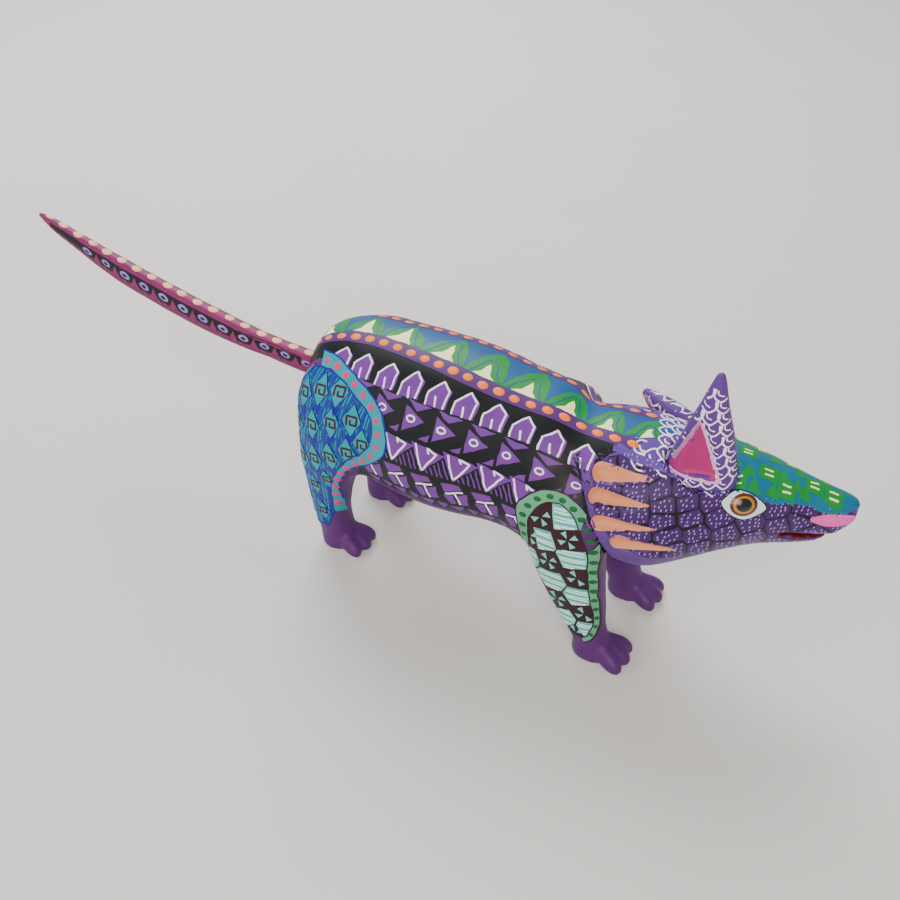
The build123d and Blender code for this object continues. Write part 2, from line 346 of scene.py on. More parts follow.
def make_object(name, points, normals, faces, material, slot, body):
    """A piece with its own shading normals, its finish and the body it rides on. The slot is not used."""
    mesh = bpy.data.meshes.new(name)
    mesh.from_pydata([to_row(p) for p in points], [], faces)
    mesh.polygons.foreach_set("use_smooth", [True] * len(mesh.polygons))
    mesh.normals_split_custom_set_from_vertices([Vector(n) for n in normals])
    mesh.materials.append(material)
    made = bpy.data.objects.new(name, mesh)
    bpy.context.scene.collection.objects.link(made)
    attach(made, body)
    return made


body_skin = Skin(BODY_NODES, 0.6, 4)
tail_skin = Skin(("tail",), 0.4, 4)
ear_skins = {"right": Skin(("right_ear",), 0.35, 4), "left": Skin(("left_ear",), 0.35, 4)}

# ---------------------------------------------------------------- charts: flat places on round wood

SPINE_RADIUS = 25.5  # a trunk chart's second number is the arc length down the right side on this
RUMP_START = -42.0
RUMP_HEIGHT = 58.0
RUMP_RADIUS = 22.0
SPINE_CENTRE = -1.3  # the painter's centre line, a little to the left of the real one
SIDE_TILT = radians(25)
NECK_X = 38.0
HEAD_YAW = radians(16)
TRUNK_AXIS = ((-60, 60.2), (-51, 58.2), (-25, 57.0), (15, 57.2), (32, 55.8), (60, 54.0))


def along_table(table, x):
    return float(np.interp(x, [row[0] for row in table], [row[1] for row in table]))


def trunk_chart(side=RIGHT, allowed=None):
    """(forward, arc length down the right side); on the left it is the mirror image."""

    def place(u, w):
        if side == LEFT:
            w = 2 * SPINE_CENTRE - w
        angle = w / SPINE_RADIUS
        back = max(0.0, (RUMP_START - u) / RUMP_RADIUS)
        direction = Vector((-sin(back), -sin(angle) * cos(back), cos(angle) * cos(back)))
        height = RUMP_HEIGHT if back else along_table(TRUNK_AXIS, u)
        return body_skin.hit(Vector((max(u, RUMP_START), 0, height)), direction, allowed)

    return place


def leg_chart(side, nodes, pivots, wrap_radius, inner_limit=8.0):
    """(forward, height) seen square on to the leg's outer face. Behind the pivot line it wraps
    round the back of the leg."""

    def place(u, h):
        pivot = along_table(pivots, h)
        if u >= pivot:
            origin = Vector((u, side * 60.0, (h + 60.0 * sin(SIDE_TILT)) / cos(SIDE_TILT)))
            direction = Vector((0, -side * cos(SIDE_TILT), -sin(SIDE_TILT)))
        else:
            turn = (pivot - u) / wrap_radius
            origin = Vector((pivot, side * 15.0, (h + 15.0 * sin(SIDE_TILT)) / cos(SIDE_TILT)))
            flat = Vector((-sin(turn), side * cos(turn), 0)) * cos(SIDE_TILT)
            direction = flat + Vector((0, 0, sin(SIDE_TILT) * cos(turn)))
        inner = inner_limit if u >= pivot else -inner_limit
        return body_skin.hit(
            origin, direction.normalized(), lambda node, point: node in nodes and side * point.y > inner
        )

    return place


def from_head(along, across, height):
    """A place given along the head and across it, as a place on the body."""
    return Vector(
        (
            NECK_X + along * cos(HEAD_YAW) - across * sin(HEAD_YAW),
            along * sin(HEAD_YAW) + across * cos(HEAD_YAW),
            height,
        )
    )


def on_head(point):
    """The distance along the head and across it of a place on the body."""
    dx, dy = point.x - NECK_X, point.y
    return dx * cos(HEAD_YAW) + dy * sin(HEAD_YAW), dy * cos(HEAD_YAW) - dx * sin(HEAD_YAW)


def head_side_chart(side, allowed=None):
    """(along the head, height), seen from a little above its side. allowed takes (s, h)."""
    inward = from_head(0, -side * cos(SIDE_TILT), -sin(SIDE_TILT)) - from_head(0, 0, 0)

    # The left shoulder stands in front of the turned head, and takes no face paint.
    head_only = None if side == RIGHT else lambda node, point: node == "head"

    def place(s, h):
        if allowed and not allowed(s, h):
            return None
        origin = from_head(s, side * 60.0, (h + 60.0 * sin(SIDE_TILT)) / cos(SIDE_TILT))
        return body_skin.hit(origin, inward, head_only)

    return place


def head_top_chart(s, across):
    return body_skin.hit(from_head(s, across, 150.0), Vector((0, 0, -1)))


# Height of the tail's middle, and its half height, along the tail.
TAIL_AXIS = (
    (-184.5, 83.6), (-172, 79.2), (-158, 74.4), (-140, 69.6), (-118, 65.2), (-95, 62.0), (-62, 60.6),
)  # fmt: skip
TAIL_HALF = ((-184.5, 0.8), (-172, 2.7), (-158, 4.0), (-140, 4.8), (-118, 4.8), (-95, 4.2), (-62, 3.3))


def tail_top_chart(u, y):
    return tail_skin.hit(Vector((u, y, 150.0)), Vector((0, 0, -1)))


def tail_side_chart(side):
    """(forward, share of the half height above the tail's middle)."""

    def place(u, v):
        height = along_table(TAIL_AXIS, u) + v / 4.0 * along_table(TAIL_HALF, u)
        return tail_skin.hit(Vector((u, side * 40.0, height)), Vector((0, -side, 0)))

    return place


# Each ear's seat and tip, the direction of its base, and which way its outer face looks.
EARS = {
    "right": ((62.6, -1.0, 69.5), (62.2, -2.6, 103.8), (0.96, 0.28, 0.0), -1),
    "left": ((57.5, 18.5, 65.5), (37.0, 25.5, 71.0), (0.1, 0.6, -0.75), 1),
}


def ear_chart(which, face):
    """(along the ear's base, up the ear) on its outer face (1) or inner face (-1)."""
    seat, tip, length, outward = EARS[which]
    rise = (Vector(tip) - Vector(seat)).normalized()
    across = rise.cross(Vector(length)).normalized() * outward * face
    along = (Vector(length) - rise * rise.dot(Vector(length))).normalized()

    def place(p, q):
        origin = Vector(seat) + along * p + rise * q + across * 30.0
        return ear_skins[which].hit(origin, -across)

    return place


# ---------------------------------------------------------------- brush marks

SHEETS = {}


class Sheet:
    """All marks of one colour on one block."""

    def __init__(self, name, material, slot, body="figure"):
        self.name, self.material, self.slot, self.body = name, material, slot, body
        self.points, self.normals, self.faces = [], [], []
        SHEETS[name] = self

    def add(self, points, normals, faces):
        start = len(self.points)
        self.points += points
        self.normals += normals
        self.faces += [tuple(start + i for i in face) for face in faces]


def between(a, b, c, d, t):
    """A smooth value from b to c, as t goes from 0 to 1, with a before and d after them."""
    square, cube = 2 * a - 5 * b + 4 * c - d, 3 * b - a - 3 * c + d
    return 0.5 * (2 * b + (c - a) * t + square * t * t + cube * t**3)


def curve_through(points, closed=False):
    """A smooth line through points, for marks drawn in one sweep."""
    count = len(points)
    smooth = []
    for i in range(count if closed else count - 1):
        if closed:
            p0, p1, p2, p3 = (points[(i + k) % count] for k in (-1, 0, 1, 2))
        else:
            p0, p1, p2, p3 = (points[min(max(i + k, 0), count - 1)] for k in (-1, 0, 1, 2))
        for step in range(5):
            t = step / 5
            smooth.append(tuple(between(a, b, c, d, t) for a, b, c, d in zip(p0, p1, p2, p3)))
    return smooth if closed else smooth + [tuple(points[-1])]


def evenly(points, step, closed=False):
    """The same line with vertices about step apart; corners are kept."""
    spaced = []
    ends = list(points) + [points[0]] if closed else list(points)
    for (x0, y0), (x1, y1) in zip(ends, ends[1:]):
        parts = max(1, round(hypot(x1 - x0, y1 - y0) / step))
        spaced += [(x0 + (x1 - x0) * k / parts, y0 + (y1 - y0) * k / parts) for k in range(parts)]
    return spaced if closed else spaced + [tuple(ends[-1])]


def unsteady(points, amount):
    """A hand doesn't draw straight: the line wanders by about this many millimetres."""
    seed = hand.uniform(0, 99)
    return [
        (
            x + amount * noise.noise(Vector((x / 2.5, y / 2.5, seed))),
            y + amount * noise.noise(Vector((x / 2.5, y / 2.5, seed + 7))),
        )
        for x, y in points
    ]


def inside(outline, x, y):
    """Whether a place lies inside a closed outline."""
    odd = False
    for (x0, y0), (x1, y1) in zip(outline, list(outline[1:]) + [outline[0]]):
        if (y0 > y) != (y1 > y) and x < x0 + (y - y0) * (x1 - x0) / (y1 - y0):
            odd = not odd
    return odd


def fill(sheet, place, outline, lift, step=1.2, sway=0.35, round_corners=False):
    """A filled shape. Its edge runs down into the wood, so that no gap shows under it."""
    outline = curve_through(outline, closed=True) if round_corners else outline
    rim = unsteady(evenly(outline, step, closed=True), sway)
    flat = np.array(rim)
    low, high = flat.min(0), flat.max(0)
    grid = [
        (x, y)
        for row, y in enumerate(np.arange(low[1], high[1], step * 0.87))
        for x in np.arange(low[0] + step / 2 * (row % 2), high[0], step)
        if np.min(np.hypot(flat[:, 0] - x, flat[:, 1] - y)) > step * 0.6 and inside(rim, x, y)
    ]
    points = [Vector(p) for p in rim] + [Vector(p) for p in grid]
    made = delaunay_2d_cdt(points, [], [list(range(len(rim)))], 1, 1e-5)
    laid = [place(*p) for p in made[0]]
    faces = [tuple(f) for f in made[2] if all(laid[i] for i in f)]
    faces = [f for f in faces if not stretched([laid[i][0] for i in f], step)]
    used = sorted({i for f in faces for i in f})
    index = {old: new for new, old in enumerate(used)}
    faces = [tuple(index[i] for i in f) for f in faces]
    tops = [laid[i][0] + laid[i][1] * lift for i in used]
    normals = [laid[i][1] for i in used]
    if not faces:
        return
    a, b, c = (tops[i] for i in faces[0])
    if (b - a).cross(c - a).dot(normals[faces[0][0]]) < 0:
        faces = [f[::-1] for f in faces]
    around = {(a, b) for f in faces for a, b in zip(f, f[1:] + f[:1])}
    rims = [(a, b) for a, b in around if (b, a) not in around]
    feet = {i: len(tops) + k for k, i in enumerate(sorted({i for pair in rims for i in pair}))}
    tops += [tops[i] - normals[i] * (lift + 0.12) for i in feet]
    normals += [normals[i] for i in feet]
    faces += [(b, a, feet[a], feet[b]) for a, b in rims]
    sheet.add(tops, normals, faces)


def stretched(corners, step):
    """Whether a triangle spans a drop in the wood, where no brush could reach."""
    a, b, c = corners
    return max((a - b).length, (b - c).length, (c - a).length) > 6 * step


def stroke(sheet, place, line, width, lift, curved=False, closed=False, sway=0.3):
    """One pull of the brush: a low ridge with rounded ends."""
    line = curve_through(line, closed) if curved else list(line)
    if closed:
        line = line + line[:2]
    line = unsteady(evenly(line, max(0.35, width * 0.6)), sway)
    if not closed:
        early, late = midpoint(line[0], line[1], 0.3), midpoint(line[-1], line[-2], 0.3)
        line = [line[0], early] + line[1:-1] + [late, line[-1]]
    rows = []
    for i, (x, y) in enumerate(line):
        (x0, y0), (x1, y1) = line[max(i - 1, 0)], line[min(i + 1, len(line) - 1)]
        length = hypot(x1 - x0, y1 - y0) or 1.0
        nx, ny = -(y1 - y0) / length, (x1 - x0) / length
        half = width / 2 * (1 + 0.2 * noise.noise(Vector((x, y, 3.3))))
        if not closed and i in (0, len(line) - 1):
            half *= 0.45
        across = [place(x + nx * half * k, y + ny * half * k) for k in (-1, -0.7, 0.7, 1)]
        rows.append(across if all(across) else None)
    for row, following in zip(rows, rows[1:]):
        if not (row and following) or (row[1][0] - following[1][0]).length > 5 * width + 2:
            continue
        points, normals = [], []
        for cross in (row, following):
            side = (cross[3][0] - cross[0][0]).normalized()
            heights, leans = (-0.1, lift, lift, -0.1), (-0.9, -0.25, 0.25, 0.9)
            for (point, normal), height, lean in zip(cross, heights, leans):
                points.append(point + normal * height)
                normals.append((normal + side * lean).normalized())
        faces = [(0, 1, 5, 4), (1, 2, 6, 5), (2, 3, 7, 6)]
        if (points[1] - points[5]).cross(points[2] - points[5]).dot(normals[1]) < 0:
            faces = [f[::-1] for f in faces]
        sheet.add(points, normals, faces)


def midpoint(a, b, share):
    return (a[0] + (b[0] - a[0]) * share, a[1] + (b[1] - a[1]) * share)


def dot(sheet, place, centre, radii, lift, height=0.16, turn=0.0, sides=16):
    """A blob of paint set down with the end of a stick."""
    middle = place(*centre)
    if not middle:
        return
    swell = hand.uniform(0.93, 1.07)
    points = [middle[0] + middle[1] * (lift + height)]
    normals = [middle[1]]
    rings = ((0.55, 0.85, 0.35), (0.86, 0.45, 0.8), (1.0, 0.0, 1.2))
    for share, rise, lean in rings:
        for k in range(sides):
            angle = 2 * pi * k / sides
            x, y = radii[0] * cos(angle) * share * swell, radii[1] * sin(angle) * share * swell
            laid = place(centre[0] + x * cos(turn) - y * sin(turn), centre[1] + x * sin(turn) + y * cos(turn))
            if not laid:
                return
            outward = laid[0] - middle[0]
            level = lift + height * rise if rise else -0.1
            points.append(laid[0] + laid[1] * level)
            normals.append((laid[1] + outward.normalized() * lean * 0.6).normalized())
    faces = [(0, 1 + k, 1 + (k + 1) % sides) for k in range(sides)]
    for ring in range(len(rings) - 1):
        start = 1 + ring * sides
        for k in range(sides):
            after = (k + 1) % sides
            faces.append((start + k, start + sides + k, start + sides + after, start + after))
    if (points[1] - points[0]).cross(points[2] - points[0]).dot(normals[0]) < 0:
        faces = [f[::-1] for f in faces]
    sheet.add(points, normals, faces)


def band(sheet, place, outer, inner, lift, step=1.2):
    """A strip between two lines that run side by side."""
    count = max(2, round(line_length(outer) / step))
    outer, inner = spread(curve_through(outer), count), spread(curve_through(inner), count)
    shares = (0.0, 0.25, 0.5, 0.75, 1.0)
    rows = [[place(*midpoint(a, b, share)) for share in shares] for a, b in zip(outer, inner)]
    for row, following in zip(rows, rows[1:]):
        if not (all(row) and all(following)):
            continue
        if (row[2][0] - following[2][0]).length > 6 * step:
            continue
        points, normals = [], []
        for cross in (row, following):
            for share, (point, normal) in zip(shares, cross):
                points.append(point + normal * lift)
                normals.append(normal)
            for point, normal in (cross[0], cross[-1]):
                points.append(point - normal * 0.12)
                normals.append(normal)
        faces = [(k, k + 1, k + 8, k + 7) for k in range(4)] + [(5, 0, 7, 12), (4, 6, 13, 11)]
        if (points[1] - points[0]).cross(points[7] - points[0]).dot(normals[0]) < 0:
            faces = [f[::-1] for f in faces]
        sheet.add(points, normals, faces)


def line_length(points):
    return sum(hypot(x1 - x0, y1 - y0) for (x0, y0), (x1, y1) in zip(points, points[1:]))


def spread(points, count):
    """count + 1 vertices at even distances along a line."""
    lengths = np.concatenate(
        ([0.0], np.cumsum([hypot(x1 - x0, y1 - y0) for (x0, y0), (x1, y1) in zip(points, points[1:])]))
    )
    at = np.linspace(0, lengths[-1], count + 1)
    xs = np.interp(at, lengths, [p[0] for p in points])
    ys = np.interp(at, lengths, [p[1] for p in points])
    return list(zip(xs, ys))


def nearest_share(outline, centre, others, gap):
    """The part of an outline that lies nearer to one centre than to the others, less a gap."""
    part = list(outline)
    for other in others:
        dx, dy = other[0] - centre[0], other[1] - centre[1]
        length = hypot(dx, dy)
        if length < 1e-6:
            continue
        limit = length / 2 - gap / 2
        kept = []
        for (x0, y0), (x1, y1) in zip(part, part[1:] + part[:1]):
            d0 = ((x0 - centre[0]) * dx + (y0 - centre[1]) * dy) / length - limit
            d1 = ((x1 - centre[0]) * dx + (y1 - centre[1]) * dy) / length - limit
            if d0 <= 0:
                kept.append((x0, y0))
            if (d0 <= 0) != (d1 <= 0):
                kept.append(midpoint((x0, y0), (x1, y1), d0 / (d0 - d1)))
        part = kept
        if len(part) < 3:
            return []
    return part


def hatch(outline, angle, spacing, inset=0.5):
    """Parallel lines across a shape, each as its two ends."""
    turn = radians(angle)
    ax, ay = cos(turn), sin(turn)
    offsets = [-x * ay + y * ax for x, y in outline]
    lines = []
    offset = min(offsets) + spacing * 0.7
    while offset < max(offsets) - spacing * 0.3:
        cuts = []
        for (x0, y0), (x1, y1) in zip(outline, list(outline[1:]) + [outline[0]]):
            d0, d1 = -x0 * ay + y0 * ax - offset, -x1 * ay + y1 * ax - offset
            if (d0 > 0) != (d1 > 0):
                x, y = midpoint((x0, y0), (x1, y1), d0 / (d0 - d1))
                cuts.append(x * ax + y * ay)
        cuts.sort()
        for start, end in zip(cuts[::2], cuts[1::2]):
            start, end = start + inset, end - inset
            if end - start > 0.8:
                ends = [(along * ax - offset * ay, along * ay + offset * ax) for along in (start, end)]
                lines.append(ends)
        offset += spacing
    return lines


def moved(points, x, y):
    return [(x + px, y + py) for px, py in points]


# ---------------------------------------------------------------- the painter's colours

# Each paint's real name, colour, roughness, and where needed its patchiness and varnish.
PAINT_POTS = {
    "black": ("Black acrylic, satin, brushed on sanded wood", "#06090d", 0.46),
    "violet": ("Deep violet acrylic, satin", "#4e2160", 0.48),
    "stripe_violet": ("Bright violet acrylic, satin", "#4c2468", 0.5),
    "house_violet": ("Violet acrylic, thin coat", "#69308a", 0.5),
    "lilac_white": ("Lilac white acrylic, thick line", "#f0e8fa", 0.52, 0.1),
    "spine_blue": ("Cobalt blue acrylic, satin", "#084e86", 0.46),
    "leaf_green": ("Emerald green acrylic, satin", "#04802c", 0.46),
    "cream": ("Cream acrylic, thick coat", "#fffcb4", 0.5, 0.1),
    "orange": ("Orange acrylic, thick blobs", "#ff7a1e", 0.45, 0.12),
    "turquoise": ("Turquoise acrylic, satin", "#008c98", 0.46),
    "pink": ("Rose pink acrylic, thick blobs", "#cc2c70", 0.46, 0.12),
    "navy": ("Ultramarine acrylic, satin", "#0a1084", 0.45),
    "fret_brown": ("Red brown acrylic, fine line", "#3c0810", 0.5),
    "sage": ("Sage green acrylic, satin", "#579a76", 0.5),
    "bottle_green": ("Bottle green acrylic, thick blobs", "#045a28", 0.46),
    "mint": ("Mint acrylic, satin", "#6cbcb4", 0.5, 0.12),
    "mint_white": ("Pale mint acrylic, fine line", "#dcf6f0", 0.52, 0.08),
    "teal": ("Teal acrylic, fine line", "#1c7f7b", 0.5),
    "maroon": ("Maroon acrylic, satin", "#2a0a14", 0.46),
    "scale_violet": ("Dark violet acrylic, satin", "#3c1a58", 0.46),
    "dash_lilac": ("Lilac acrylic, fine dashes", "#9a84cc", 0.52, 0.12),
    "brow_violet": ("Blue violet acrylic, satin", "#5a3c90", 0.5),
    "peach": ("Peach acrylic, satin", "#d88a62", 0.48),
    "magenta": ("Magenta acrylic, satin", "#a42068", 0.48),
    "rose_lilac": ("Pale rose acrylic, broad line", "#dca0c8", 0.5, 0.12),
    "tail_magenta": ("Purple magenta acrylic, satin", "#7a1a54", 0.46),
    "tail_peach": ("Pale peach acrylic, thick blobs", "#f6b690", 0.46, 0.12),
    "oval_lilac": ("Grey lilac acrylic, satin", "#9070c4", 0.5),
    "eye_white": ("Pale blue white acrylic, varnished", "#ccdde6", 0.3, 0.06, 0.4),
    "amber": ("Amber acrylic, varnished", "#b87606", 0.3, 0.15, 0.6),
    "iris_brown": ("Brown acrylic, varnished", "#4c1e08", 0.3, 0.15, 0.6),
    "pupil_black": ("Black acrylic, varnished", "#0a0a0c", 0.25, 0.1, 0.8),
    "lip_pink": ("Pink acrylic, satin", "#e055a8", 0.48),
    "hip_blue": ("Deep blue acrylic, satin", "#063e86", 0.46),
    "snout_blue": ("Peacock blue acrylic, satin", "#046484", 0.46),
    "ear_violet": ("Violet acrylic, satin", "#56307c", 0.48),
    "mouth_red": ("Dark red acrylic, satin", "#5c0a12", 0.44),
}
PAINTS = {name: brushed_acrylic(*pot) for name, pot in PAINT_POTS.items()}


def sheet(name, paint, slot, body="figure"):
    return Sheet(name, PAINTS[paint], slot, body)


# Paint lies in coats: each level is one coat higher, in millimetres.
COAT = 0.05

# ---------------------------------------------------------------- the spine

spine_ground = sheet("spine_blue_ground", "spine_blue", "trunk_paint")
spine_leaves = sheet("spine_green_arches", "leaf_green", "trunk_paint")
spine_lines = sheet("spine_blue_lines", "spine_blue", "trunk_paint")
spine_bells = sheet("spine_cream_bells", "cream", "trunk_paint")
spine_stripes = sheet("spine_violet_stripes", "stripe_violet", "trunk_paint")
spine_dots = sheet("spine_orange_dots", "orange", "trunk_paint")

# Half width of the spine's blue band along the body.
BAND_HALF = (
    (-61, 8.0), (-55, 7.6), (-50, 6.7), (-45, 5.6), (-35, 4.8), (-25, 5.1), (-15, 5.9),
    (-5, 6.9), (5, 7.3), (15, 7.2), (25, 6.3), (35, 6.2), (46, 5.7), (50, 4.2), (52.5, 1.2),
)  # fmt: skip
STRIPE_WIDTH = 4.4
STRIPE_FRONT = 46.5
DOT_SPACING = 4.85


def band_edge(u, side):
    centre = SPINE_CENTRE - 0.5 * max(0.0, u - 44.0)
    return centre - side * along_table(BAND_HALF, u)


spine = trunk_chart()
band_us = [row[0] for row in BAND_HALF]
fill(
    spine_ground,
    spine,
    [(u, band_edge(u, RIGHT)) for u in band_us] + [(u, band_edge(u, LEFT)) for u in reversed(band_us)],
    COAT,
    sway=0.2,
)
for side in (RIGHT, LEFT):
    stripe_us = list(range(-61, 46, 5)) + [STRIPE_FRONT]
    near = [(u, band_edge(u, side)) for u in stripe_us]
    far = [(u, band_edge(u, side) - side * STRIPE_WIDTH * (0.5 if u > 45 else 1)) for u in stripe_us]
    band(spine_stripes, spine, near, far, 2 * COAT)
    for k in range(22):
        u = -57.2 + DOT_SPACING * k
        dot(
            spine_dots,
            spine,
            (u, band_edge(u, side) - side * (STRIPE_WIDTH * 0.5 + hand.uniform(-0.2, 0.2))),
            (1.75, 1.4),
            2 * COAT,
        )

# Cream bells along the right edge: rear corner, tip, front corner, height. Each stands in a green arch.
BELLS = (
    (-56.5, -54.5, -51.0, 5.5),
    (-44.7, -42.0, -38.1, 7.6),
    (-33.7, -28.7, -25.2, 7.6),
    (-17.9, -13.2, -10.0, 6.4),
    (-3.7, -0.4, 3.0, 5.4),
    (8.4, 12.7, 15.7, 6.0),
    (21.6, 24.8, 27.6, 6.0),
    (33.6, 36.2, 38.6, 5.4),
    (43.8, 46.6, 48.6, 4.2),
)
for number, (rear, tip, front, height) in enumerate(BELLS):
    base_rear, base_front = band_edge(rear, RIGHT) - 0.2, band_edge(front, RIGHT) - 0.2
    top = band_edge(tip, RIGHT) - height
    crest = band_edge(tip, LEFT) + 1.2
    gap_behind = (rear - BELLS[number - 1][2]) / 2 if number else 2.5
    gap_ahead = (BELLS[number + 1][0] - front) / 2 if number + 1 < len(BELLS) else 1.2
    arch = (
        (rear - gap_behind, base_rear),
        (rear - gap_behind * 0.7, base_rear - height * 0.5),
        (tip - 2.2, crest + 2.6),
        (tip + 0.6, crest),
        (front + gap_ahead * 0.2, crest + 3.4),
        (front + gap_ahead * 0.8, base_front - height * 0.45),
        (front + gap_ahead, base_front),
    )
    fill(spine_leaves, spine, arch, 2 * COAT, step=1.0)
    inner_arch = (
        (rear - gap_behind * 0.45, base_rear),
        (rear + 0.4, base_rear - height * 0.55),
        (tip - 1.2, top - 1.3),
        (tip + 0.4, top - 2.0),
        (tip + 1.6, top - 0.8),
        (front - 0.4, base_front - height * 0.5),
        (front + gap_ahead * 0.5, base_front),
    )
    stroke(spine_lines, spine, inner_arch, 0.55, 3 * COAT, curved=True)
    bell = (
        (rear, base_rear),
        (rear + (tip - rear) * 0.6, base_rear - height * 0.25),
        (tip - 0.7, base_rear - height * 0.7),
        (tip, top),
        (tip + 0.8, base_front - height * 0.7),
        (front - (front - tip) * 0.5, base_front - height * 0.25),
        (front, base_front),
        ((rear + front) / 2, (base_rear + base_front) / 2 + 0.2),
    )
    fill(spine_bells, spine, bell, 3 * COAT, step=0.8, sway=0.25)

# ---------------------------------------------------------------- the trunk's sides

side_houses = sheet("side_violet_shapes", "house_violet", "trunk_paint")
side_lines = sheet("side_lilac_lines", "lilac_white", "trunk_paint")
belly = sheet("belly_violet", "violet", "trunk_paint")

HOUSE = ((-3.2, 3.9), (0.0, 0.0), (2.6, 2.1), (2.6, 7.4), (-2.9, 7.7))
HOUSE_SPACING = 8.6
RING_SPACING = 9.85
VEE_SPACING = 10.0
TEE_SPACING = 9.5
# The ruff's edge: height in the head's side chart, and distance along the head.
RUFF = (
    (34, 16.0), (36, 11.0), (38, 6.4), (41, 2.5), (44, -1.2), (47.5, -3.4), (51, -4.4), (55, -4.5),
    (58, -4.0), (61.2, -2.8), (63.6, -0.6), (65.2, 2.7), (66, 6.0),
)  # fmt: skip


def behind_ruff(side):
    """Allows paint only behind the ruff's edge on one side."""

    def allowed(node, point):
        s, across = on_head(point)
        height = point.z * cos(SIDE_TILT) + side * across * -sin(SIDE_TILT)
        return s < along_table(RUFF, height) - 0.3

    return allowed


# Painted shadow: a black sheet on the ruff's rear step and the neck just behind it, where the ruff casts
# shade.
ruff_shadow = sheet("ruff_painted_shadow", "black", "head_paint")
for side in (RIGHT, LEFT):
    neck = head_side_chart(side)
    edge = [(s, h) for h, s in RUFF]
    fill(ruff_shadow, neck, edge[4:] + [(-3.0, 68.5), (-16.0, 68.5), (-16.0, 44.0)], 0.4 * COAT, sway=0.1)
    flank = trunk_chart(side, behind_ruff(side))
    for k in range(10):
        u, w = -43.5 + HOUSE_SPACING * k + hand.uniform(-0.3, 0.3), 10.8 + 0.17 * k
        fill(side_houses, flank, moved([(x * 1.15 + 0.4, y) for x, y in HOUSE], u, w), COAT, step=1.0)
        stroke(side_lines, flank, moved(HOUSE[-1:] + HOUSE[:-1], u, w), 0.7, 2 * COAT)
        stroke(side_lines, flank, moved(((-0.5, 4.6), (0.2, 7.6)), u, w), 0.75, 2 * COAT)
    for k in range(9):
        u, w = -44.1 + RING_SPACING * k, 23.2 + 0.3 * k
        fill(side_houses, flank, moved(((-2.3, -3.3), (4.3, 0.0), (-2.1, 3.9)), u, w), COAT, step=1.0)
        fill(side_houses, flank, moved(((-2.4, -4.9), (5.3, -4.6), (1.4, -2.4)), u, w), COAT, step=1.0)
        fill(side_houses, flank, moved(((-6.2, 4.4), (-3.1, 2.4), (-3.1, 4.6)), u, w), COAT, step=1.0)
        ring = [(u + 1.2 * cos(pi * t / 5), w + 0.9 * sin(pi * t / 5)) for t in range(10)]
        stroke(side_lines, flank, ring, 0.65, 2 * COAT, closed=True, sway=0.15)
    for k in range(7):
        u, w = -28.8 + VEE_SPACING * k, 30.4
        fill(side_houses, flank, moved(((-3.9, -0.5), (7.0, 0.8), (0.0, 8.1)), u, w), COAT, step=1.0)
        vee = ((-2.4, -0.1), (0.1, 7.7), (4.4, 1.1), (1.3, 0.3), (2.0, 1.7))
        stroke(side_lines, flank, moved(vee, u, w), 0.75, 2 * COAT)
        for share in (0.16, 0.32, 0.48, 0.64, 0.8, 0.96):
            line = ((7.2 * share + 0.4, 8.1 - 7.3 * share), (10.3 * share + 0.2, 8.1))
            stroke(side_houses, flank, moved(line, u, w), 0.62, COAT)
    for k in range(7):
        u, w = -27.0 + TEE_SPACING * k, 43.2
        for shape in (
            ((-4.2, -2.9), (1.6, -3.6), (2.4, -2.0), (-2.8, 0.4)),
            ((1.0, 0.9), (3.8, -0.9), (4.2, 4.4), (2.2, 5.6)),
            ((-3.4, 2.0), (-0.5, 1.2), (0.3, 5.2), (-1.6, 6.2)),
            ((-2.4, 7.6), (2.4, 6.6), (0.6, 10.6)),
            ((3.2, 6.4), (6.6, 7.0), (5.0, 10.4)),
        ):
            fill(side_houses, flank, moved(shape, u, w), COAT, step=1.0)
        stroke(side_lines, flank, moved(((-2.8, 1.2), (2.8, -1.2)), u, w), 0.75, 2 * COAT)
        stroke(side_lines, flank, moved(((0.0, 0.0), (1.5, 5.4)), u, w), 0.75, 2 * COAT)
bare_trunk = trunk_chart(RIGHT, lambda node, point: node == "trunk")
fill(belly, bare_trunk, ((-30, 54.5), (14, 54.5), (14, 103), (-30, 103)), COAT, step=2.0)

# ---------------------------------------------------------------- hips: stepped frets on turquoise

HIP_PIVOTS = ((0, -51.5), (70, -51.5))
HIP_OUTER = (
    (-63.0, 44.0), (-60.5, 54.0), (-57.0, 60.0), (-52.0, 64.5), (-44.5, 65.0), (-38.5, 63.0),
    (-33.0, 61.0), (-28.0, 58.5), (-24.0, 55.0), (-21.5, 50.5), (-20.5, 46.5), (-22.5, 41.5),
    (-27.0, 37.5), (-33.0, 34.0), (-36.5, 31.0), (-40.0, 26.5), (-42.5, 21.5), (-44.0, 14.5),
    (-45.0, 9.6),
)  # fmt: skip
HIP_INNER = (
    (-60.0, 44.0), (-58.0, 52.0), (-55.0, 57.0), (-51.0, 60.5), (-46.0, 61.3), (-40.5, 60.3),
    (-35.5, 58.0), (-30.5, 55.3), (-27.2, 52.5), (-26.0, 48.5), (-26.8, 44.0), (-29.5, 40.2),
    (-34.0, 36.7), (-38.5, 31.5), (-42.5, 25.5), (-45.5, 19.5), (-46.8, 12.5), (-47.2, 9.2),
)  # fmt: skip
HIP_FOOT = ((-49.4, 3.4), (-52.0, 1.6), (-56.0, 1.6), (-60.0, 3.0), (-62.0, 16.0), (-62.0, 32.0))
FRETS = (
    (-57.5, 50.5), (-51.5, 52.5), (-45.5, 55.0), (-39.0, 56.5), (-54.5, 41.5), (-47.0, 43.5),
    (-39.8, 46.5), (-33.0, 49.5), (-53.5, 29.5), (-47.5, 31.5), (-41.0, 34.5), (-34.5, 38.5),
    (-29.2, 43.0), (-45.0, 24.0), (-58.5, 24.0), (-51.0, 19.5), (-57.5, 12.0), (-50.8, 8.0),
)  # fmt: skip
